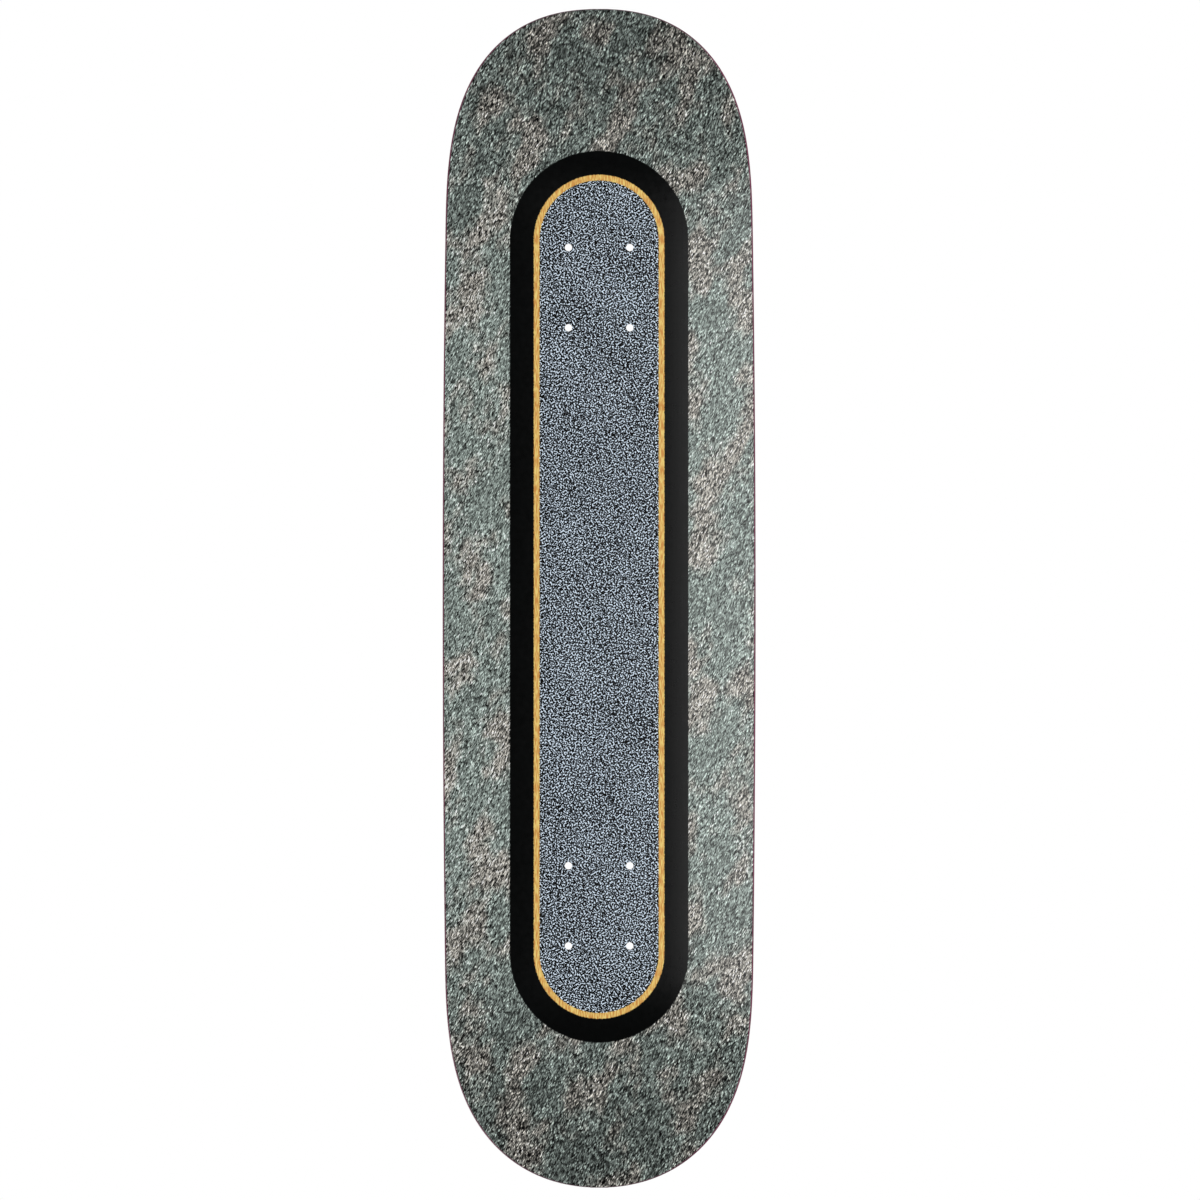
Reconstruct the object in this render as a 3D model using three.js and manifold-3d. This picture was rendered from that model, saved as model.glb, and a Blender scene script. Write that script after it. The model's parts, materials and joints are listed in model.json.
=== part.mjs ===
// A bare skateboard deck: seven maple plies glued in one curved mould, cut to outline, drilled for
// two trucks, and covered on the underside by a printed heat-transfer film.
//
// Frame, in millimetres: the origin is the middle of the flat underside, half-way between the two
// truck bolt patterns. +X points to the nose, +Y across the deck, and +Z up out of the riding side.
// The deck lies on the plane z = 0, graphic side down.

import * as THREE from 'three';
import { mergeVertices } from 'three/addons/utils/BufferGeometryUtils.js';
import Module from 'manifold-3d';

// ---------------------------------------------------------------- driving dimensions

// Truck bolt patterns
const wheelbase = 361.95;          // between the two inner bolt rows
const boltRowGap = 53.975;         // inner to outer bolt row of one truck
const boltSpread = 41.275;         // between the two bolts of a row, across the deck
const boltHole = 5;                // drilled diameter

// Plan of the deck
const deckWidth = 210.8;           // across the rails at the middle
const tipFlat = 12;                // short straight edge left at each tip by the router
const nose = {
  side: 1,                         // which way along X
  length: 171,                     // outer bolt row to tip, along the sheet
  kick: 22,                        // degrees the end turns up
  roundLength: 165,                // how far back from the tip the outline curves in
  taper: 3.18,                     // how soon that curve leaves the rail
  fullness: 2.27,                  // how blunt the tip is
  railBow: 5.2,                    // how far each rail has drawn in by the tip line
};
const tail = {
  side: -1,
  length: 171.7,
  kick: 20,
  roundLength: 170,
  taper: 3.24,
  fullness: 2.08,
  railBow: 4.3,
};

// The mould
const seatMargin = 7.4;            // flat kept outside the bolts, across the deck
const kickClearance = 20;          // flat kept outside the outer bolt row, along the deck
const kickRadius = 100;            // bend of the underside where an end turns up
const concaveRise = 11;            // height of the rails over the flat middle
const kickConcave = 4.5;           // what is left of that height on the turned-up ends
const fadeLength = 110;            // length over which the concave eases from one to the other
const fadeLead = 45;               // how far before the bend that easing starts

// The laminate
const filmThickness = 0.12;
const plyThickness = 1.5;
const glueThickness = 0.08;
const railRound = 2.2;             // radius worked on both edges of the rail

// How finely the curved sheets are divided
const flatCells = 2;
const bendCells = 3;
const kickCells = 7;
const sideCells = 3;
const holeSides = 8;
const tipCrowding = 2.1;           // crowds the cross lines towards the tips

// ---------------------------------------------------------------- finishes

const finishes = {
  maple: { color: 0xd8b48c, roughness: 0.45, metalness: 0 },
  crossband: { color: 0xc99f74, roughness: 0.5, metalness: 0 },
  stained: { color: 0x5f2433, roughness: 0.45, metalness: 0 },
  glue: { color: 0xb08a4e, roughness: 0.6, metalness: 0 },
  film: { color: 0x7f8b88, roughness: 0.35, metalness: 0 },
};

// The sheets, from the printed underside up. The third and fifth plies run across the deck.
const laminate = [
  { name: 'graphic_film', thickness: filmThickness, finish: 'film' },
  { name: 'bottom_face_ply', thickness: plyThickness, finish: 'stained' },
  { name: 'glue_line_1', thickness: glueThickness, finish: 'glue' },
  { name: 'core_ply_2', thickness: plyThickness, finish: 'maple' },
  { name: 'glue_line_2', thickness: glueThickness, finish: 'glue' },
  { name: 'cross_ply_3', thickness: plyThickness, finish: 'crossband' },
  { name: 'glue_line_3', thickness: glueThickness, finish: 'glue' },
  { name: 'core_ply_4', thickness: plyThickness, finish: 'maple' },
  { name: 'glue_line_4', thickness: glueThickness, finish: 'glue' },
  { name: 'cross_ply_5', thickness: plyThickness, finish: 'crossband' },
  { name: 'glue_line_5', thickness: glueThickness, finish: 'glue' },
  { name: 'core_ply_6', thickness: plyThickness, finish: 'maple' },
  { name: 'glue_line_6', thickness: glueThickness, finish: 'glue' },
  { name: 'top_face_ply', thickness: plyThickness, finish: 'maple' },
];

// ---------------------------------------------------------------- sizes that follow

const innerRow = wheelbase / 2;
const outerRow = innerRow + boltRowGap;
const kickStart = outerRow + boltHole / 2 + kickClearance;
const seatHalf = (boltSpread + boltHole) / 2 + seatMargin;
const deckThickness = laminate.reduce((sum, sheet) => sum + sheet.thickness, 0);

for (const end of [nose, tail]) {
  end.turn = THREE.MathUtils.degToRad(end.kick);
  end.reach = outerRow + end.length;
  end.bendEnd = kickStart + kickRadius * end.turn;
}

// ---------------------------------------------------------------- the mould surface

// Half the width of the deck at a distance from the middle, measured along the sheet.
function halfWidth(end, along) {
  const back = THREE.MathUtils.clamp((end.reach - along) / end.roundLength, 0, 1);
  const rounding = (1 - (1 - back) ** end.taper) ** (1 / end.fullness);
  const rail = deckWidth / 2 - end.railBow * (along / end.reach) ** 2;
  return Math.max(tipFlat / 2, rail * rounding);
}

// Side view of the underside's middle line: flat, one bend, then straight.
function sideView(end, along) {
  if (along <= kickStart) {
    return { x: along, z: 0, turn: 0, curvature: 0 };
  }
  const turn = Math.min(end.turn, (along - kickStart) / kickRadius);
  const straight = Math.max(0, along - end.bendEnd);
  return {
    x: kickStart + kickRadius * Math.sin(turn) + straight * Math.cos(turn),
    z: kickRadius * (1 - Math.cos(turn)) + straight * Math.sin(turn),
    turn,
    curvature: along < end.bendEnd ? 1 / kickRadius : 0,
  };
}

// Height of the concave above that line, with its slopes across and along the deck.
function concave(along, across) {
  const run = deckWidth / 2 - seatHalf;
  const out = Math.max(0, Math.abs(across) - seatHalf) / run;
  const eased = THREE.MathUtils.clamp((along - kickStart + fadeLead) / fadeLength, 0, 1);
  const drop = concaveRise - kickConcave;
  const crest = concaveRise - drop * eased * eased * (3 - 2 * eased);
  const crestSlope = (-drop * 6 * eased * (1 - eased)) / fadeLength;
  return {
    rise: crest * out * out,
    slopeAcross: (Math.sign(across) * crest * 2 * out) / run,
    slopeAlong: crestSlope * out * out,
  };
}

// How far the rounded rail stands back from the outline at a height in the laminate.
function railInset(level) {
  const depth = Math.min(level, deckThickness - level);
  const short = Math.max(0, railRound - depth);
  return railRound - Math.sqrt(railRound ** 2 - short ** 2);
}

// A point of the laminate: station along the deck (negative towards the tail), share of the
// half width, and level above the underside. Each ply keeps its thickness square to the mould,
// while the rails stay cut straight through the laminate.
function pressed(station, share, level) {
  const end = station < 0 ? tail : nose;
  const inset = railInset(level);
  const along = Math.abs(station) * (1 - inset / end.reach);
  const across = share * (halfWidth(end, Math.abs(station)) - inset);
  const side = sideView(end, along);
  const bowl = concave(along, across);
  const slopeAlong = bowl.slopeAlong / (1 - side.curvature * bowl.rise);
  const lift = bowl.rise + level * Math.hypot(1, bowl.slopeAcross, slopeAlong);
  const x = side.x - lift * Math.sin(side.turn);
  const z = side.z + lift * Math.cos(side.turn);
  return new THREE.Vector3(x * end.side, across, z);
}

// ---------------------------------------------------------------- the grid of a sheet

// Stations from the middle of the deck to one tip.
function stationsTo(end) {
  const list = [];
  for (let i = 1; i <= flatCells; i += 1) {
    list.push((kickStart * i) / flatCells);
  }
  for (let i = 1; i <= bendCells; i += 1) {
    list.push(kickStart + ((end.bendEnd - kickStart) * i) / bendCells);
  }
  for (let i = kickCells - 1; i >= 0; i -= 1) {
    list.push(end.reach - (end.reach - end.bendEnd) * (i / kickCells) ** tipCrowding);
  }
  return list.map((along) => along * end.side);
}

// Shares of the half width, with one cell over the flat middle.
function sharesAcross() {
  const flatShare = seatHalf / (deckWidth / 2);
  const list = [];
  for (let i = 0; i <= sideCells; i += 1) {
    list.push(flatShare + ((1 - flatShare) * i) / sideCells);
  }
  return [...list.map((share) => -share).reverse(), ...list];
}

const stations = [...stationsTo(tail).reverse(), 0, ...stationsTo(nose)];
const shares = sharesAcross();

// A box's lower face has its diagonals the other way round from its upper face. Turning them makes
// one sheet's lower face lie exactly on the upper face of the sheet below it.
function turnLowerDiagonals(blank) {
  const corners = blank.getIndex().array;
  const lowerFace = blank.groups[5];
  for (let i = lowerFace.start; i < lowerFace.start + lowerFace.count; i += 6) {
    const [a, b, d, , c] = corners.slice(i, i + 5);
    corners.set([a, b, c, a, c, d], i);
  }
}

// A flat blank divided into that grid, pressed between two levels of the mould.
function pressedBlank(bottomLevel, topLevel) {
  const cellsAlong = stations.length - 1;
  const cellsAcross = shares.length - 1;
  const blank = new THREE.BoxGeometry(1, 1, 1, cellsAlong, cellsAcross, 1);
  turnLowerDiagonals(blank);
  const place = blank.getAttribute('position');
  for (let i = 0; i < place.count; i += 1) {
    const station = stations[Math.round((place.getX(i) + 0.5) * cellsAlong)];
    const share = shares[Math.round((place.getY(i) + 0.5) * cellsAcross)];
    const point = pressed(station, share, place.getZ(i) > 0 ? topLevel : bottomLevel);
    place.setXYZ(i, point.x, point.y, point.z);
  }
  return blank;
}

// ---------------------------------------------------------------- drilling

const wasm = await Module();
wasm.setup();

function toSolid(geometry) {
  const bare = geometry.clone();
  bare.deleteAttribute('normal');
  bare.deleteAttribute('uv');
  const merged = mergeVertices(bare);
  return new wasm.Manifold(new wasm.Mesh({
    numProp: 3,
    vertProperties: new Float32Array(merged.getAttribute('position').array),
    triVerts: new Uint32Array(merged.getIndex().array),
  }));
}

function toGeometry(solid) {
  const mesh = solid.getMesh();
  const geometry = new THREE.BufferGeometry();
  geometry.setAttribute('position', new THREE.BufferAttribute(mesh.vertProperties, 3));
  geometry.setIndex(new THREE.BufferAttribute(mesh.triVerts, 1));
  geometry.computeVertexNormals();
  return geometry;
}

// One drill for each of the eight bolts, long enough to pass through the whole laminate.
function drills() {
  const drillLength = 4 * deckThickness;
  const list = [];
  for (const x of [-outerRow, -innerRow, innerRow, outerRow]) {
    for (const y of [-boltSpread / 2, boltSpread / 2]) {
      const drill = new THREE.CylinderGeometry(boltHole / 2, boltHole / 2, drillLength, holeSides);
      drill.rotateX(Math.PI / 2);
      drill.translate(x, y, 0);
      list.push(toSolid(drill));
    }
  }
  return list;
}

const boltDrills = drills();

function drilled(blank) {
  return toGeometry(boltDrills.reduce((sheet, drill) => sheet.subtract(drill), toSolid(blank)));
}

// ---------------------------------------------------------------- the deck

const deck = new THREE.Group();
deck.name = 'skateboard_deck';

let level = 0;
for (const { name, thickness, finish } of laminate) {
  const geometry = drilled(pressedBlank(level, level + thickness));
  const sheet = new THREE.Mesh(geometry, new THREE.MeshStandardMaterial(finishes[finish]));
  sheet.name = name;
  deck.add(sheet);
  level += thickness;
}

export default deck;
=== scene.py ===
# %% [markdown]
# # A pressed skateboard deck
# A deck is made from seven thin sheets of maple. They are glued, pressed together in one curved
# mould, sawn to a rounded outline, drilled for two trucks, sanded and lacquered, and last of all a
# printed film is rolled onto the underside with heat. This file makes the same things in the same
# order: flat veneers first, then a press, then the drill, and the finishes and the print last.
#
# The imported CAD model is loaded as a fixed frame. Every piece below takes its place from it.

import json
import math

import bpy
import numpy as np
from mathutils import Matrix, Vector


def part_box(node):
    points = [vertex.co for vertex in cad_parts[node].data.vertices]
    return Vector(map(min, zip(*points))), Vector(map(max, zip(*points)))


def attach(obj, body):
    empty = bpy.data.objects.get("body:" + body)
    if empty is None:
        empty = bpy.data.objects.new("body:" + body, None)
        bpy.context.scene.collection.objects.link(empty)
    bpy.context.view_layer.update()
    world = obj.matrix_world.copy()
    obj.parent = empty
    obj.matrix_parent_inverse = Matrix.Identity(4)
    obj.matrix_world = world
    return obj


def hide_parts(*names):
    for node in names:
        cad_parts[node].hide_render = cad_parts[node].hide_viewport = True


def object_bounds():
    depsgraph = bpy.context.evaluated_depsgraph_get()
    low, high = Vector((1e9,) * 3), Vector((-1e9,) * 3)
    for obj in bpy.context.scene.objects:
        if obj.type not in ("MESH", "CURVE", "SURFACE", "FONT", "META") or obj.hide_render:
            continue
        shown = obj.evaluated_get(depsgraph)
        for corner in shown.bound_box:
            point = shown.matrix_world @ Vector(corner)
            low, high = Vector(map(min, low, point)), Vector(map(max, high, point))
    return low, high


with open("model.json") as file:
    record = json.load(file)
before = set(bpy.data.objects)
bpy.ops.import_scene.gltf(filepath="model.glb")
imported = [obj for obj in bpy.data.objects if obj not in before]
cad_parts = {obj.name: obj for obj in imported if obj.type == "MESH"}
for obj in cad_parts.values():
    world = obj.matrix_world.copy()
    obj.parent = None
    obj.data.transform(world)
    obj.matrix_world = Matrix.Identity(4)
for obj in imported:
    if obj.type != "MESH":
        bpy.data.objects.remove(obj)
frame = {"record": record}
cad_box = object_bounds()
cad_size = cad_box[1] - cad_box[0]
mounts = {mount["name"]: mount for mount in frame["record"]["mounts"]}
print("CAD box, mm:", [round(side * 1000, 1) for side in cad_size])

MM = 0.001


# %% [markdown]
# ## Stage
# The deck lies on its flat middle, printed side down, as it would on a bench. The print is what a
# deck is known by, so the main camera looks straight up at it, from far enough below to see it
# with almost no perspective, and with the nose at the top of the frame.
#
# A floor would be in the way. It could be left out, but then the deck would float in every view
# from above. So the floor is one-sided: its material is pale and matt from above, and clear where
# the light or the camera meets its lower side.

# %% Camera
LONG_LENS = 900.0            # mm on a 36 mm wide sensor
SENSOR = 36.0
FRAMED_WIDTH = 807.2 * MM    # how much the frame takes in at the deck
FRAME_MIDDLE = Vector((-2.2 * MM, 0.6 * MM, 0))
UP_THE_DECK = Vector((1, 0, 0))
ACROSS_THE_DECK = Vector((0, 1, 0))

camera_data = bpy.data.cameras.new("underside_camera")
camera_data.lens = LONG_LENS
camera_data.sensor_width = SENSOR
camera = bpy.data.objects.new("underside_camera", camera_data)
bpy.context.scene.collection.objects.link(camera)
bpy.context.scene.camera = camera

camera_distance = FRAMED_WIDTH * LONG_LENS / SENSOR
camera_data.clip_end = 10 * camera_distance
turned = Matrix((ACROSS_THE_DECK, UP_THE_DECK, ACROSS_THE_DECK.cross(UP_THE_DECK))).transposed()
below = FRAME_MIDDLE - Vector((0, 0, camera_distance))
camera.matrix_world = Matrix.Translation(below) @ turned.to_4x4()
print("camera", round(camera_distance, 2), "m below the deck")

# %% One-sided floor
FLOOR_HALF = 30.0            # large enough that its edge is never in view
FLOOR_DROP = 0.3 * MM        # a hair under the deck, so the two surfaces never share a plane
FLOOR_COLOUR = (0.82, 0.82, 0.81, 1)


def floor_material():
    material = bpy.data.materials.new("pale_floor")
    material.use_nodes = True
    tree = material.node_tree
    tree.nodes.clear()
    matt = tree.nodes.new("ShaderNodeBsdfDiffuse")
    matt.inputs["Color"].default_value = FLOOR_COLOUR
    clear = tree.nodes.new("ShaderNodeBsdfTransparent")
    side = tree.nodes.new("ShaderNodeNewGeometry")
    mix = tree.nodes.new("ShaderNodeMixShader")
    out = tree.nodes.new("ShaderNodeOutputMaterial")
    tree.links.new(side.outputs["Backfacing"], mix.inputs["Fac"])
    tree.links.new(matt.outputs[0], mix.inputs[1])
    tree.links.new(clear.outputs[0], mix.inputs[2])
    tree.links.new(mix.outputs[0], out.inputs["Surface"])
    return material


floor_mesh = bpy.data.meshes.new("floor")
signs = [(-1, -1), (1, -1), (1, 1), (-1, 1)]
corners = [(x * FLOOR_HALF, y * FLOOR_HALF, -FLOOR_DROP) for x, y in signs]
floor_mesh.from_pydata(corners, [], [(0, 1, 2, 3)])
floor_mesh.materials.append(floor_material())
floor = bpy.data.objects.new("floor", floor_mesh)
bpy.context.scene.collection.objects.link(floor)
floor.visible_shadow = False      # the sun under the floor has to reach the deck
floor.visible_diffuse = False
floor.visible_glossy = False

# %% [markdown]
# The light is a white room and two very soft suns, one over the deck and one under it. Suns light a
# large floor evenly, where a lamp would leave a bright patch. Both come from one side, and that turns
# the curves of the deck without a hard edge anywhere. The room is pure white to the camera, a little
# dimmer to the deck, and almost dark in reflections. Black cards do the same in a studio, so that
# the lacquer doesn't wash out the print.

# %% Room and suns
ROOM_SEEN = 1.0
ROOM_FELT = 0.70
ROOM_MIRRORED = 0.05
SUN_WIDTH = math.radians(50)
SUNS = {                     # where the light comes from, and how strong it is
    "sun_over": ((-0.5, -0.55, 1.0), 1.15),
    "sun_under": ((0.1, 0.75, -1.0), 1.15),
}


def room_shader(tree, strength):
    background = tree.nodes.new("ShaderNodeBackground")
    background.inputs["Color"].default_value = (1, 1, 1, 1)
    background.inputs["Strength"].default_value = strength
    return background.outputs[0]


world = bpy.data.worlds.new("white_room")
world.use_nodes = True
bpy.context.scene.world = world
room = world.node_tree
room.nodes.clear()
ray = room.nodes.new("ShaderNodeLightPath")
shade = room_shader(room, ROOM_FELT)
for kind, strength in (("Is Glossy Ray", ROOM_MIRRORED), ("Is Camera Ray", ROOM_SEEN)):
    choose = room.nodes.new("ShaderNodeMixShader")
    room.links.new(ray.outputs[kind], choose.inputs["Fac"])
    room.links.new(shade, choose.inputs[1])
    room.links.new(room_shader(room, strength), choose.inputs[2])
    shade = choose.outputs[0]
room_out = room.nodes.new("ShaderNodeOutputWorld")
room.links.new(shade, room_out.inputs["Surface"])

for name, (direction, strength) in SUNS.items():
    sun_data = bpy.data.lights.new(name, "SUN")
    sun_data.angle = SUN_WIDTH
    sun_data.energy = strength
    sun = bpy.data.objects.new(name, sun_data)
    bpy.context.scene.collection.objects.link(sun)
    sun.rotation_euler = (-Vector(direction)).to_track_quat("-Z", "Y").to_euler()
bpy.context.scene.view_settings.view_transform = "Standard"
print("suns:", list(SUNS))

# %% [markdown]
# ## Veneers
# A veneer leaves the press as part of one stack, so the outline of every sheet comes from one rule.
# The outline could be traced point by point, but then the nose, the tail and the rails would have
# no sizes of their own. Instead each end is a blunt curve with three numbers: how far back it
# starts, how soon it leaves the rail, and how full its tip is.
#
# All lengths along the deck are measured on the flat sheet, before it is bent.

# %% Sizes of the deck
NODES = [
    "graphic_film", "bottom_face_ply", "glue_line_1", "core_ply_2", "glue_line_2", "cross_ply_3",
    "glue_line_3", "core_ply_4", "glue_line_4", "cross_ply_5", "glue_line_5", "core_ply_6",
    "glue_line_6", "top_face_ply",
]
BOLT_ROW_GAP = 53.975 * MM
BOLT_SPREAD = 41.275 * MM
BOLT_HOLE = 5 * MM
TIP_FLAT = 12 * MM
RAIL_ROUND = 2.2 * MM
SEAT_MARGIN = 7.4 * MM
KICK_CLEARANCE = 20 * MM
BEND_RADIUS = 100 * MM

levels = [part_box(node)[0].z for node in NODES] + [mounts["riding_face"]["pos_m"][2]]
thickness = levels[-1]
deck_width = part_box("core_ply_4")[1].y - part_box("core_ply_4")[0].y
truck_seat = mounts["front_truck_seat"]["pos_m"][0]
outer_row = truck_seat + BOLT_ROW_GAP / 2
kick_start = outer_row + BOLT_HOLE / 2 + KICK_CLEARANCE
seat_half = (BOLT_SPREAD + BOLT_HOLE) / 2 + SEAT_MARGIN

NOSE = dict(side=1, reach=outer_row + 171 * MM, kick=math.radians(22), round_length=165 * MM,
            taper=3.18, fullness=2.27, rail_bow=5.2 * MM)
TAIL = dict(side=-1, reach=outer_row + 171.7 * MM, kick=math.radians(20), round_length=170 * MM,
            taper=3.24, fullness=2.08, rail_bow=4.3 * MM)
print("laminate", round(thickness / MM, 2), "mm thick,", round(deck_width / MM, 1), "mm wide")


# %% The outline, and the rounded rail
def half_width(end, along):
    back = np.clip((end["reach"] - along) / end["round_length"], 0, 1)
    rounding = (1 - (1 - back) ** end["taper"]) ** (1 / end["fullness"])
    rail = deck_width / 2 - end["rail_bow"] * (along / end["reach"]) ** 2
    return np.maximum(TIP_FLAT / 2, rail * rounding)


def rail_inset(level):
    """How far the sanded rail stands back from the outline at a level of the laminate."""
    short = max(0.0, RAIL_ROUND - min(level, thickness - level))
    return RAIL_ROUND - math.sqrt(RAIL_ROUND ** 2 - short ** 2)


def flat_points(stations, shares, inset, level):
    """Points of the flat, unpressed sheet: along, across and up through the laminate."""
    stations, shares = np.asarray(stations), np.asarray(shares)
    width = np.where(stations < 0, half_width(TAIL, -stations), half_width(NOSE, stations))
    reach = np.where(stations < 0, TAIL["reach"], NOSE["reach"])
    along = stations * (1 - inset / reach)
    return np.stack([along, shares * (width - inset), np.full(along.shape, level)], axis=-1)


print("half width at the truck seat, mm:", round(float(half_width(NOSE, truck_seat)) / MM, 1))

# %% [markdown]
# A flat blank is a closed sheet: a grid for its lower face, a grid for its upper face, and rings of
# points between the two that follow the rail. The rings matter most, because the rail is where the
# seven plies show. The grid lines crowd together towards the tips, where the outline turns fastest.

# %% Grid lines
FLAT_CELLS, BEND_CELLS, KICK_CELLS = 36, 12, 44
PAD_CELLS, SIDE_CELLS = 4, 14
TIP_CROWDING = 2.1


def stations_to(end):
    bend_end = kick_start + BEND_RADIUS * end["kick"]
    flat = np.linspace(0, kick_start, FLAT_CELLS + 1)[1:]
    bend = np.linspace(kick_start, bend_end, BEND_CELLS + 1)[1:]
    crowd = np.linspace(1, 0, KICK_CELLS + 1)[1:] ** TIP_CROWDING
    kick = end["reach"] - (end["reach"] - bend_end) * crowd
    return end["side"] * np.concatenate([flat, bend, kick])


def shares_across():
    pad = seat_half / (deck_width / 2)
    middle = np.linspace(-pad, pad, PAD_CELLS + 1)
    side = np.linspace(pad, 1, SIDE_CELLS + 1)[1:]
    return np.concatenate([-side[::-1], middle, side])


stations = np.concatenate([stations_to(TAIL)[::-1], [0.0], stations_to(NOSE)])
shares = shares_across()
print(len(stations), "stations by", len(shares), "lines across")


# %% Flat blanks
def blank(name, rail):
    """A closed flat sheet. rail is a list of (inset, level), from its lower face to its upper."""
    rows, columns = len(stations), len(shares)
    grid_x, grid_y = np.meshgrid(stations, shares, indexing="ij")
    lower = flat_points(grid_x.ravel(), grid_y.ravel(), *rail[0])
    upper = flat_points(grid_x.ravel(), grid_y.ravel(), *rail[-1])
    index = np.arange(rows * columns).reshape(rows, columns)
    rim = np.concatenate([index[:, -1], index[-1, -2::-1], index[-2::-1, 0], index[0, 1:-1]])
    rings = [rim]
    points = [lower, upper]
    total = 2 * rows * columns
    for inset, level in rail[1:-1]:
        points.append(flat_points(grid_x.ravel()[rim], grid_y.ravel()[rim], inset, level))
        rings.append(np.arange(total, total + len(rim)))
        total += len(rim)
    rings.append(rim + rows * columns)
    down = np.stack([index[:-1, :-1], index[:-1, 1:], index[1:, 1:], index[1:, :-1]], axis=-1)
    faces = [down.reshape(-1, 4), down[..., ::-1].reshape(-1, 4) + rows * columns]
    for ring, above in zip(rings[:-1], rings[1:]):
        faces.append(np.stack([np.roll(ring, -1), ring, above, np.roll(above, -1)], axis=-1))
    mesh = bpy.data.meshes.new(name)
    mesh.from_pydata(np.concatenate(points).tolist(), [], np.concatenate(faces).tolist())
    mesh.validate()
    return mesh


# %% The rail of a wooden sheet
FILLET_STEPS = 9


def ply_rail(low, high):
    turn = np.linspace(0, math.pi / 2, FILLET_STEPS + 1)
    depths = RAIL_ROUND * (1 - np.cos(turn))
    between = [depth for depth in (*depths, *(thickness - depths)) if low < depth < high]
    return [(rail_inset(level), level) for level in [low, *sorted(between), high]]


print("steps up the rail of the bottom ply:", len(ply_rail(levels[1], levels[2])) - 1)

# %% [markdown]
# The film is rolled on hot after the rail is sanded, so it wraps a little way round the edge and
# ends there, and the stained ply shows beyond it as a thin dark line. The wrap is drawn on the same
# circle as the rail, and stands a hair proud of it.

# %% The rail of the film
WRAP_TURN = math.radians(33)      # how far round the sanded edge the film reaches
WRAP_PROUD = 0.05 * MM
WRAP_STEPS = 6


def film_rail():
    outer = []
    for step in range(WRAP_STEPS + 1):
        turn = WRAP_TURN * step / WRAP_STEPS
        radius = RAIL_ROUND + WRAP_PROUD * step / WRAP_STEPS
        outer.append((RAIL_ROUND - radius * math.sin(turn), RAIL_ROUND - radius * math.cos(turn)))
    edge = RAIL_ROUND * (1 - math.cos(WRAP_TURN))
    return outer + [(rail_inset(edge), edge), (rail_inset(levels[1]), levels[1])]


print("the film stops", round(film_rail()[WRAP_STEPS][0] / MM, 2), "mm inside the outline")

# %% [markdown]
# ## Formulas in node trees
# Both the press and the print are formulas. Written with separate math nodes, a formula is hard
# to read and easy to get wrong. So here is a small class for a number on its way through a tree:
# adding or multiplying two of them adds a math node and links it.


# %% A number in a node tree
class Wire:
    def __init__(self, tree, socket):
        self.tree = tree
        self.socket = socket

    def math(self, operation, *others):
        node = self.tree.nodes.new("ShaderNodeMath")
        node.operation = operation
        for slot, value in zip(node.inputs, (self, *others)):
            if isinstance(value, Wire):
                self.tree.links.new(value.socket, slot)
            else:
                slot.default_value = value
        return Wire(self.tree, node.outputs[0])

    def __add__(self, other):
        return self.math("ADD", other)

    def __sub__(self, other):
        return self.math("SUBTRACT", other)

    def __mul__(self, other):
        return self.math("MULTIPLY", other)

    def __truediv__(self, other):
        return self.math("DIVIDE", other)

    def __pow__(self, other):
        return self.math("POWER", other)

    def __neg__(self):
        return self.math("MULTIPLY", -1.0)

    def __radd__(self, other):
        return self + other

    def __rmul__(self, other):
        return self * other

    def __rsub__(self, other):
        return -self + other

    def __abs__(self):
        return self.math("ABSOLUTE")

    def least(self, other):
        return self.math("MINIMUM", other)

    def most(self, other):
        return self.math("MAXIMUM", other)

    def smooth(self, low, high):
        """0 below low, 1 above high, and a smooth S between them."""
        node = self.tree.nodes.new("ShaderNodeMapRange")
        node.interpolation_type = "SMOOTHSTEP"
        for slot, value in zip(node.inputs, (self, low, high)):
            if isinstance(value, Wire):
                self.tree.links.new(value.socket, slot)
            else:
                slot.default_value = value
        return Wire(self.tree, node.outputs[0])


# %% [markdown]
# ## The press
# A mould does one thing to every sheet: it moves each point of the flat stack to its place on the
# curved one. That is a rule, so Geometry Nodes suit it. Along the deck the sheet runs flat, turns up
# round a bend and runs straight on. Across the deck it rises towards the rails, more in the middle
# than on the turned-up ends. Each ply keeps its thickness square to the curve.
#
# The drill comes after, in the same tree. Its eight bits are one cylinder, placed on the corners of
# two small grids, so the bolt pattern has its sizes as inputs too.

# %% Inputs of the press
PRESS_SIZES = {
    "Deck Width": deck_width,
    "Flat Half Width": seat_half,
    "Kick Start": kick_start,
    "Kick Radius": BEND_RADIUS,
    "Nose Kick": NOSE["kick"],
    "Tail Kick": TAIL["kick"],
    "Concave Rise": 11 * MM,
    "Concave On Kicks": 4.5 * MM,
    "Fade Length": 110 * MM,
    "Fade Lead": 45 * MM,
    "Truck Seat": truck_seat,
    "Bolt Row Gap": BOLT_ROW_GAP,
    "Bolt Spread": BOLT_SPREAD,
    "Hole Radius": BOLT_HOLE / 2,
    "Drill Length": 4 * thickness,
}
DRILL_SIDES = 48


def new_press():
    tree = bpy.data.node_groups.new("press_and_drill", "GeometryNodeTree")
    tree.interface.new_socket("Geometry", in_out="INPUT", socket_type="NodeSocketGeometry")
    for name in PRESS_SIZES:
        tree.interface.new_socket(name, in_out="INPUT", socket_type="NodeSocketFloat")
    tree.interface.new_socket("Finish", in_out="INPUT", socket_type="NodeSocketMaterial")
    tree.interface.new_socket("Geometry", in_out="OUTPUT", socket_type="NodeSocketGeometry")
    return tree


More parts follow.
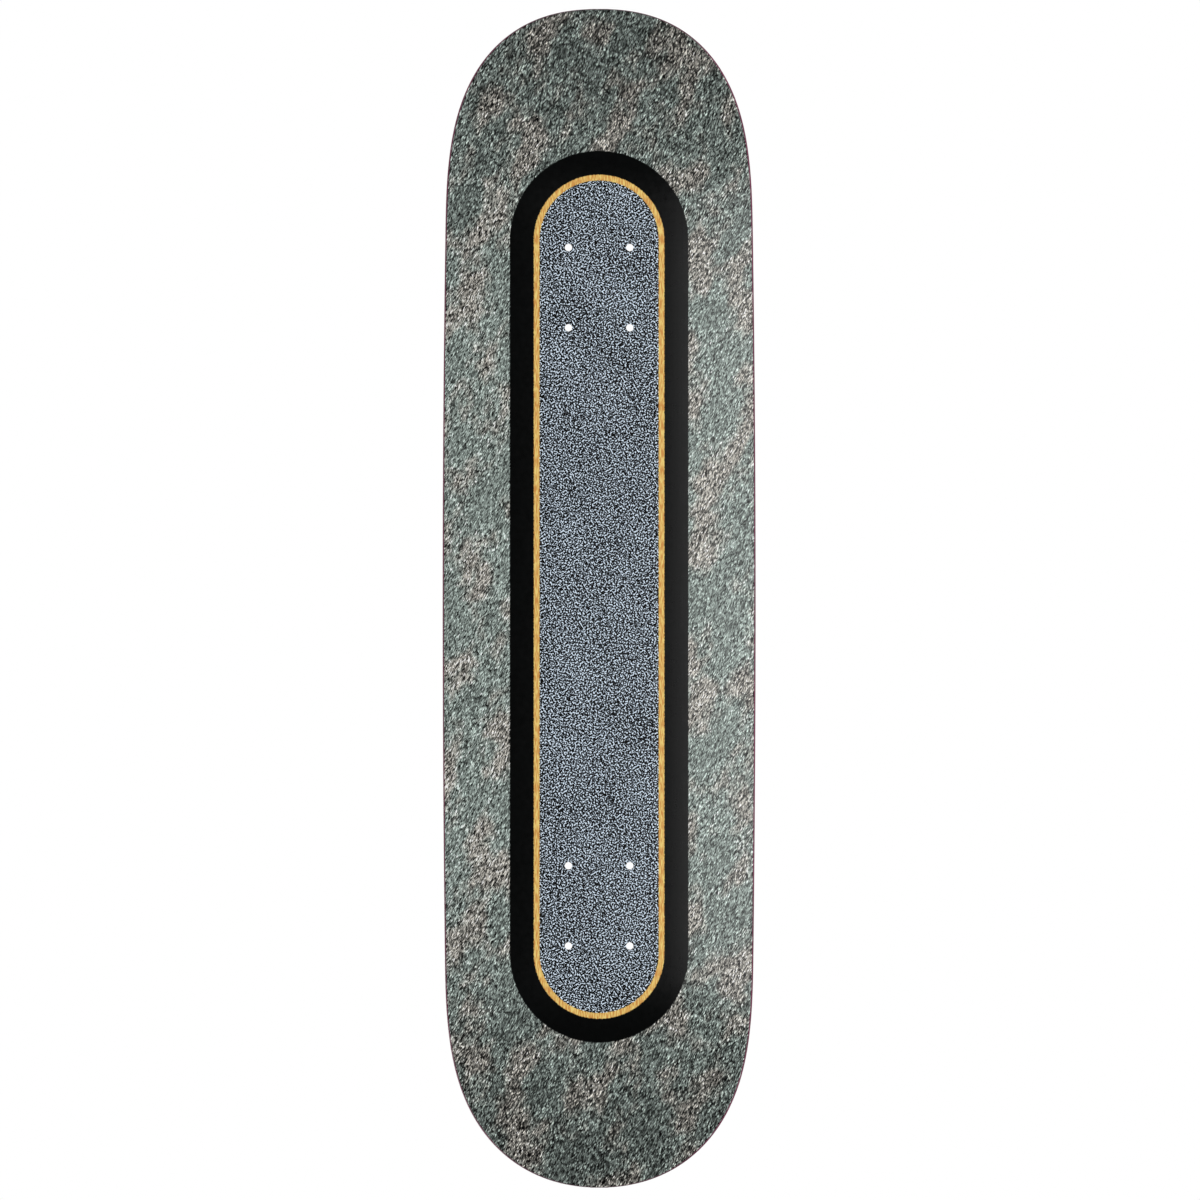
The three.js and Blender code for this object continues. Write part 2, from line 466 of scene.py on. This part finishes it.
# %% From the flat stack to the mould
def press(tree, sizes, geometry):
    place = tree.nodes.new("GeometryNodeInputPosition")
    split = tree.nodes.new("ShaderNodeSeparateXYZ")
    tree.links.new(place.outputs[0], split.inputs[0])
    x, y, level = (Wire(tree, socket) for socket in split.outputs)
    side = x.math("SIGN")
    along = abs(x)
    kick = sizes["Tail Kick"] + (sizes["Nose Kick"] - sizes["Tail Kick"]) * x.math("GREATER_THAN", 0.0)
    start, radius = sizes["Kick Start"], sizes["Kick Radius"]
    turn = ((along - start).most(0.0) / radius).least(kick)
    straight = (along - start - kick * radius).most(0.0)
    line_x = along.least(start) + radius * turn.math("SINE") + straight * turn.math("COSINE")
    line_z = radius * (1.0 - turn.math("COSINE")) + straight * turn.math("SINE")

    run = sizes["Deck Width"] * 0.5 - sizes["Flat Half Width"]
    out = (abs(y) - sizes["Flat Half Width"]).most(0.0) / run
    fade_start = start - sizes["Fade Lead"]
    eased = along.smooth(fade_start, fade_start + sizes["Fade Length"])
    crest = sizes["Concave Rise"] - (sizes["Concave Rise"] - sizes["Concave On Kicks"]) * eased
    slope = 2.0 * crest * out / run
    lift = crest * out * out + level * (1.0 + slope * slope).math("SQRT")

    joined = tree.nodes.new("ShaderNodeCombineXYZ")
    tree.links.new((side * (line_x - lift * turn.math("SINE"))).socket, joined.inputs["X"])
    tree.links.new(y.socket, joined.inputs["Y"])
    tree.links.new((line_z + lift * turn.math("COSINE")).socket, joined.inputs["Z"])
    move = tree.nodes.new("GeometryNodeSetPosition")
    tree.links.new(geometry, move.inputs["Geometry"])
    tree.links.new(joined.outputs[0], move.inputs["Position"])
    return move.outputs[0]


# %% Eight holes
def drill(tree, sizes, geometry):
    bits = tree.nodes.new("GeometryNodeJoinGeometry")
    for side in (1.0, -1.0):
        pattern = tree.nodes.new("GeometryNodeMeshGrid")
        pattern.inputs["Vertices X"].default_value = 2
        pattern.inputs["Vertices Y"].default_value = 2
        tree.links.new(sizes["Bolt Row Gap"].socket, pattern.inputs["Size X"])
        tree.links.new(sizes["Bolt Spread"].socket, pattern.inputs["Size Y"])
        where = tree.nodes.new("ShaderNodeCombineXYZ")
        tree.links.new((sizes["Truck Seat"] * side).socket, where.inputs["X"])
        moved = tree.nodes.new("GeometryNodeTransform")
        tree.links.new(pattern.outputs["Mesh"], moved.inputs["Geometry"])
        tree.links.new(where.outputs[0], moved.inputs["Translation"])
        tree.links.new(moved.outputs[0], bits.inputs[0])
    bit = tree.nodes.new("GeometryNodeMeshCylinder")
    bit.inputs["Vertices"].default_value = DRILL_SIDES
    tree.links.new(sizes["Hole Radius"].socket, bit.inputs["Radius"])
    tree.links.new(sizes["Drill Length"].socket, bit.inputs["Depth"])
    placed = tree.nodes.new("GeometryNodeInstanceOnPoints")
    tree.links.new(bits.outputs[0], placed.inputs["Points"])
    tree.links.new(bit.outputs["Mesh"], placed.inputs["Instance"])
    real = tree.nodes.new("GeometryNodeRealizeInstances")
    tree.links.new(placed.outputs[0], real.inputs["Geometry"])
    cut = tree.nodes.new("GeometryNodeMeshBoolean")
    cut.operation = "DIFFERENCE"
    cut.solver = "MANIFOLD"
    tree.links.new(geometry, cut.inputs["Mesh 1"])
    tree.links.new(real.outputs[0], cut.inputs["Mesh 2"])
    return cut.outputs["Mesh"]


# %% The whole tree
def build_press():
    tree = new_press()
    source = tree.nodes.new("NodeGroupInput")
    sizes = {name: Wire(tree, source.outputs[name]) for name in PRESS_SIZES}
    pressed = press(tree, sizes, source.outputs["Geometry"])
    drilled = drill(tree, sizes, pressed)
    real = tree.nodes.new("GeometryNodeRealizeInstances")
    finish = tree.nodes.new("GeometryNodeSetMaterial")
    result = tree.nodes.new("NodeGroupOutput")
    tree.links.new(drilled, real.inputs["Geometry"])
    tree.links.new(real.outputs[0], finish.inputs["Geometry"])
    tree.links.new(source.outputs["Finish"], finish.inputs["Material"])
    tree.links.new(finish.outputs[0], result.inputs["Geometry"])
    return tree


PRESS = build_press()
print("the press has", len(PRESS.nodes), "nodes")

# %% [markdown]
# A finished piece has to be a plain mesh. The tree is put on the flat blank as a modifier, its inputs
# are set by their identifiers, and the evaluated result becomes a new mesh. Corners sharper than a
# sanded edge stay crisp, and everything else is shaded smooth.

# %% Press one sheet
CRISP_CORNER = math.radians(35)


def press_sheet(name, rail, material):
    flat = bpy.data.objects.new(name + "_flat", blank(name + "_flat", rail))
    bpy.context.scene.collection.objects.link(flat)
    modifier = flat.modifiers.new("press", "NODES")
    modifier.node_group = PRESS
    values = dict(PRESS_SIZES, Finish=material)
    for item in PRESS.interface.items_tree:
        if item.in_out == "INPUT" and item.name in values:
            modifier[item.identifier] = values[item.name]
    evaluated = flat.evaluated_get(bpy.context.evaluated_depsgraph_get())
    mesh = bpy.data.meshes.new_from_object(evaluated)
    flat.modifiers.remove(modifier)
    bpy.data.objects.remove(flat)
    mesh.name = name
    mesh.polygons.foreach_set("use_smooth", [True] * len(mesh.polygons))
    mesh.set_sharp_from_angle(angle=CRISP_CORNER)
    piece = bpy.data.objects.new(name, mesh)
    bpy.context.scene.collection.objects.link(piece)
    return piece


# %% [markdown]
# ## Tools for finishes
# Every finish below is made from nodes that read the piece's own coordinates, in metres. Three short
# helpers keep the recipes readable: a fresh material, its coordinates with a stretch, and noise.


# %% Helpers for materials
def new_finish(name):
    material = bpy.data.materials.new(name)
    material.use_nodes = True
    return material, material.node_tree, material.node_tree.nodes["Principled BSDF"]


def coordinates(tree, stretch=(1, 1, 1), shift=(0, 0, 0), turn=0.0):
    """Object coordinates, turned about Z, stretched and shifted."""
    source = tree.nodes.new("ShaderNodeTexCoord")
    turned = tree.nodes.new("ShaderNodeMapping")
    turned.inputs["Rotation"].default_value = (0, 0, turn)
    tree.links.new(source.outputs["Object"], turned.inputs["Vector"])
    stretched = tree.nodes.new("ShaderNodeMapping")
    stretched.inputs["Location"].default_value = shift
    stretched.inputs["Scale"].default_value = stretch
    tree.links.new(turned.outputs[0], stretched.inputs["Vector"])
    return stretched.outputs[0]


def noise(tree, vector, scale=1.0, detail=2.0, roughness=0.5, distortion=0.0, printed=False):
    """Solid noise, or noise that is flat like a print and only varies along and across the deck."""
    node = tree.nodes.new("ShaderNodeTexNoise")
    node.noise_dimensions = "2D" if printed else "3D"
    node.inputs["Scale"].default_value = scale
    node.inputs["Detail"].default_value = detail
    node.inputs["Roughness"].default_value = roughness
    node.inputs["Distortion"].default_value = distortion
    tree.links.new(vector, node.inputs["Vector"])
    return Wire(tree, node.outputs["Fac"])


COLOUR_SLOTS = (6, 7)        # the mix node's two colour inputs, which share their names with others


def mix_colour(tree, amount, low, high):
    """low where amount is 0, and high where it is 1. Each is a colour or a socket."""
    node = tree.nodes.new("ShaderNodeMix")
    node.data_type = "RGBA"
    tree.links.new(amount.socket, node.inputs["Factor"])
    for index, value in zip(COLOUR_SLOTS, (low, high)):
        slot = node.inputs[index]
        if isinstance(value, bpy.types.NodeSocket):
            tree.links.new(value, slot)
        else:
            slot.default_value = (*value, 1)
    return node.outputs[2]


def bump(tree, shader, height, distance, strength=1.0):
    node = tree.nodes.new("ShaderNodeBump")
    node.inputs["Strength"].default_value = strength
    node.inputs["Distance"].default_value = distance
    tree.links.new(height.socket, node.inputs["Height"])
    tree.links.new(node.outputs[0], shader.inputs["Normal"])


# %% [markdown]
# ## Maple
# Deck veneer is peeled off a turning log, so its face shows long wandering growth lines, like the
# contours on a map, with fine fibres and short dark flecks along them. One solid texture, stretched
# along the fibres, gives all of it: streaks on the faces, and dots wherever the fibres are cut
# across. So the cross plies show end grain on the rails with no extra work, and the long plies show
# it at the tips. Cut ends also drink more lacquer, so they are darkened where the surface faces
# along the fibres.

# %% Maple along and across the deck
MAPLE_PALE = (0.80, 0.595, 0.375)
MAPLE_WARM = (0.60, 0.385, 0.205)
MAPLE_FLECK = (0.33, 0.175, 0.08)


def maple(name, fibres_across=False, shift=0.0, pale=MAPLE_PALE, warm=MAPLE_WARM, fleck=MAPLE_FLECK):
    material, tree, shader = new_finish(name)
    turn = math.pi / 2 if fibres_across else 0.0

    def grained(along, across, seed):
        return coordinates(tree, (along, across, across), (shift, 3.7 * shift, seed), turn)

    sweep = noise(tree, grained(1.0, 12.0, 0.0), 1.0, 2.0, 0.4, 0.2)
    growth = (sweep * 22.0).math("PINGPONG", 1.0)
    lines = growth.smooth(0.62, 1.0) * 0.34
    tone = noise(tree, grained(5.0, 30.0, 4.0), 1.0, 2.0)
    fibre = noise(tree, grained(26.0, 1100.0, 9.0), 1.0, 3.0, 0.6)
    flecks = noise(tree, grained(170.0, 2300.0, 2.0), 1.0, 1.0).smooth(0.64, 0.74)
    curl = noise(tree, grained(90.0, 9.0, 6.0), 1.0, 1.0)
    warmth = lines + (tone - 0.5) * 1.1 + (fibre - 0.5) * 0.9 + (curl - 0.5) * 0.35 + 0.22
    wood = mix_colour(tree, warmth.most(0.0).least(1.0), pale, warm)
    wood = mix_colour(tree, flecks * 0.5, wood, fleck)

    facing = tree.nodes.new("ShaderNodeNewGeometry")
    parts = tree.nodes.new("ShaderNodeSeparateXYZ")
    tree.links.new(facing.outputs["Normal"], parts.inputs[0])
    along_fibres = abs(Wire(tree, parts.outputs["Y" if fibres_across else "X"]))
    end_grain = along_fibres.smooth(0.55, 0.95) * 0.55
    wood = mix_colour(tree, end_grain, wood, fleck)
    tree.links.new(wood, shader.inputs["Base Color"])

    gloss = 0.36 + (fibre - 0.5) * 0.22 + end_grain * 0.25
    tree.links.new(gloss.socket, shader.inputs["Roughness"])
    shader.inputs["Coat Weight"].default_value = 0.35
    shader.inputs["Coat Roughness"].default_value = 0.16
    bump(tree, shader, fibre * 0.7 + lines * 0.3 - flecks * 0.8, 0.06 * MM, 0.6)
    return material


# %% The plum-stained face and the glue
PLUM_PALE = (0.215, 0.052, 0.105)
PLUM_DEEP = (0.12, 0.024, 0.055)
PLUM_FLECK = (0.05, 0.012, 0.02)
GLUE_PALE = (0.42, 0.27, 0.12)
GLUE_DEEP = (0.24, 0.14, 0.055)


def glue():
    material, tree, shader = new_finish("cured_glue")
    patches = noise(tree, coordinates(tree), 420.0, 3.0)
    tree.links.new(mix_colour(tree, patches.smooth(0.35, 0.65), GLUE_DEEP, GLUE_PALE),
                   shader.inputs["Base Color"])
    shader.inputs["Roughness"].default_value = 0.48
    shader.inputs["Coat Weight"].default_value = 0.3
    bump(tree, shader, patches, 0.02 * MM, 0.5)
    return material


# %% [markdown]
# ## The print
# The film carries a plain design: rough grey-green stone with three nested stripes down the middle.
# The inner stripe is gritty, a thin amber one goes round it, and a black one round that. A real
# press prints such a design from an image file. Here it is drawn with a distance: one formula says
# how far a point lies from the middle of the stripes, in millimetres, and a soft step at each width
# gives a clean edge. The stone is noise and packed grains, and the grit is noise.
#
# Colours are mixed as print values between 0 and 1, as a printer sees them, and turned into light
# values once, at the very end.

# %% Places in the print
def print_plane(tree):
    """Millimetres up the deck and across it."""
    split = tree.nodes.new("ShaderNodeSeparateXYZ")
    tree.links.new(coordinates(tree, (1000, 1000, 1000)), split.inputs[0])
    return Wire(tree, split.outputs["X"]), Wire(tree, split.outputs["Y"])


def print_colour(tree, grey, tint):
    """A grey with a tint, as print values."""
    node = tree.nodes.new("ShaderNodeCombineColor")
    for slot, share in zip(node.inputs, tint):
        tree.links.new((grey * share).most(0.0).least(1.0).socket, slot)
    return node.outputs[0]


def print_place(tree, scale, shift, lean):
    """Coordinates in the print. scale is one number, or one along and one across the lean."""
    stretch = (*scale, 1) if isinstance(scale, tuple) else (scale, scale, 1)
    return coordinates(tree, stretch, shift, lean)


def print_noise(tree, scale, detail=2.0, roughness=0.5, shift=(0, 0, 0), lean=0.0):
    place = print_place(tree, scale, shift, lean)
    return noise(tree, place, 1.0, detail, roughness, printed=True)


def print_grains(tree, scale, shift=(0, 0, 0), lean=0.0):
    """Packed grains, each with its own number from 0 to 1."""
    cells = tree.nodes.new("ShaderNodeTexVoronoi")
    cells.voronoi_dimensions = "2D"
    cells.inputs["Scale"].default_value = 1.0
    tree.links.new(print_place(tree, scale, shift, lean), cells.inputs["Vector"])
    split = tree.nodes.new("ShaderNodeSeparateColor")
    tree.links.new(cells.outputs["Color"], split.inputs[0])
    return Wire(tree, split.outputs[0])


# %% Stone
STONE_COOL = (0.96, 1.04, 1.00)
STONE_WARM = (1.03, 1.01, 0.96)
STONE_GREY = 0.48
FLAKE_LEAN = math.radians(-25)
TIPS_DARKEN = (150.0, 420.0)


def stone(tree, up):
    """Mottled stone, a little darker towards both tips."""
    patches = print_noise(tree, (24.0, 38.0), 3.0, 0.55, lean=FLAKE_LEAN)
    mottle = print_noise(tree, (190.0, 480.0), 4.0, 0.68, (3, 1, 0), FLAKE_LEAN)
    flakes = print_grains(tree, (520.0, 2000.0), (1, 5, 0), FLAKE_LEAN)
    specks = print_grains(tree, (760.0, 2000.0), (8, 2, 0), FLAKE_LEAN)
    glints = specks.smooth(0.80, 0.92)
    pits = 1.0 - specks.smooth(0.08, 0.20)
    relief = (mottle - 0.5) * 0.30 + (flakes - 0.5) * 0.56 + (glints - pits) * 0.36
    rough = 1.0 + (patches - 0.5) * 1.4
    grey = STONE_GREY - abs(up).smooth(*TIPS_DARKEN) * 0.20
    grey = grey + (patches - 0.5) * 0.10 + relief * rough
    return mix_colour(tree, patches.smooth(0.45, 0.65), print_colour(tree, grey, STONE_COOL),
                      print_colour(tree, grey, STONE_WARM))


# %% [markdown]
# The stripes share one straight middle line, which is the deck's own. A stripe is every point nearer
# to that line than its reach, so all three have round ends and even width. A little noise is added
# to the distance, which roughens the printed edges by a fraction of a millimetre.

# %% Nested stripes
# In millimetres: half of the straight line, and how far each stripe reaches from it.
STRIPES_STRAIGHT = 240.0
GRIT_REACH = 40.0
AMBER_REACH = 44.0
BLACK_REACH = 60.0
EDGE_SOFT = 0.4
STRIPE_BLACK = (0.03, 0.04, 0.04)
AMBER_DEEP = (0.80, 0.56, 0.28)
AMBER_PALE = (0.92, 0.80, 0.46)
GRIT_TINT = (0.93, 1.00, 1.08)
GRIT_LEAN = math.radians(31)


def from_middle(up, right):
    """Distance, in millimetres, from the straight line down the middle of the stripes."""
    past = (abs(up) - STRIPES_STRAIGHT).most(0.0)
    return (past * past + right * right) ** 0.5


def inside(distance, soft=EDGE_SOFT):
    return 1.0 - distance.smooth(-soft, soft)


def amber(tree):
    grain = print_noise(tree, (160.0, 1500.0))
    return mix_colour(tree, grain.smooth(0.40, 0.60), AMBER_DEEP, AMBER_PALE)


def grit(tree):
    """Pale grains on near-black, closer together in some patches than in others."""
    grains = print_noise(tree, 980.0, 2.0, 0.5, lean=GRIT_LEAN)
    patches = print_noise(tree, 26.0)
    cut = 0.57 - (patches - 0.5) * 0.05
    return print_colour(tree, 0.03 + grains.smooth(cut - 0.03, cut + 0.03) * 0.91, GRIT_TINT)


print("the stripes take up", 2 * (STRIPES_STRAIGHT + BLACK_REACH), "by", 2 * BLACK_REACH, "mm")

# %% The printed film
PRINT_GAMMA = 2.2


def film():
    material, tree, shader = new_finish("printed_film")
    up, right = print_plane(tree)
    jitter = (print_noise(tree, 700.0) - 0.5) * 0.8
    distance = from_middle(up, right) + jitter
    design = stone(tree, up)
    stripes = [(BLACK_REACH, STRIPE_BLACK), (AMBER_REACH, amber(tree)), (GRIT_REACH, grit(tree))]
    for reach, ink in stripes:
        design = mix_colour(tree, inside(distance - reach), design, ink)

    to_light = tree.nodes.new("ShaderNodeGamma")
    to_light.inputs["Gamma"].default_value = PRINT_GAMMA
    tree.links.new(design, to_light.inputs["Color"])
    tree.links.new(to_light.outputs[0], shader.inputs["Base Color"])

    veneer_under = noise(tree, coordinates(tree, (24, 700, 700)), 1.0, 2.0)
    peel = noise(tree, coordinates(tree), 260.0, 1.0)
    tree.links.new((0.30 + (peel - 0.5) * 0.16).socket, shader.inputs["Roughness"])
    shader.inputs["Specular IOR Level"].default_value = 0.35
    bump(tree, shader, veneer_under * 0.7 + peel * 0.3, 0.03 * MM, 0.5)
    return material


# %% [markdown]
# ## Lay up, press and drill
# Now every sheet is made: the same blank, press and drill for all fourteen, and only the levels in
# the laminate and the finish change. Each veneer has its own shift, so no two show the same grain.

# %% Make the sheets
def finish_for(node, order):
    if node == "graphic_film":
        return film()
    if node == "bottom_face_ply":
        return maple("plum_stained_maple", shift=1.3, pale=PLUM_PALE, warm=PLUM_DEEP, fleck=PLUM_FLECK)
    if node.startswith("cross"):
        return maple(node + "_maple", fibres_across=True, shift=2.1 * order)
    return maple(node + "_maple", shift=2.1 * order)


cured_glue = glue()
triangles = 0
for order, node in enumerate(NODES):
    low, high = levels[order], levels[order + 1]
    rail = film_rail() if node == "graphic_film" else ply_rail(low, high)
    material = cured_glue if node.startswith("glue") else finish_for(node, order)
    piece = press_sheet("pressed_" + node, rail, material)
    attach(piece, "root")
    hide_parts(node)
    faces = sum(len(polygon.vertices) - 2 for polygon in piece.data.polygons)
    triangles += faces
    print(f"{piece.name}: {low / MM:.2f} to {high / MM:.2f} mm, {faces} triangles")
print(triangles, "triangles in the deck")
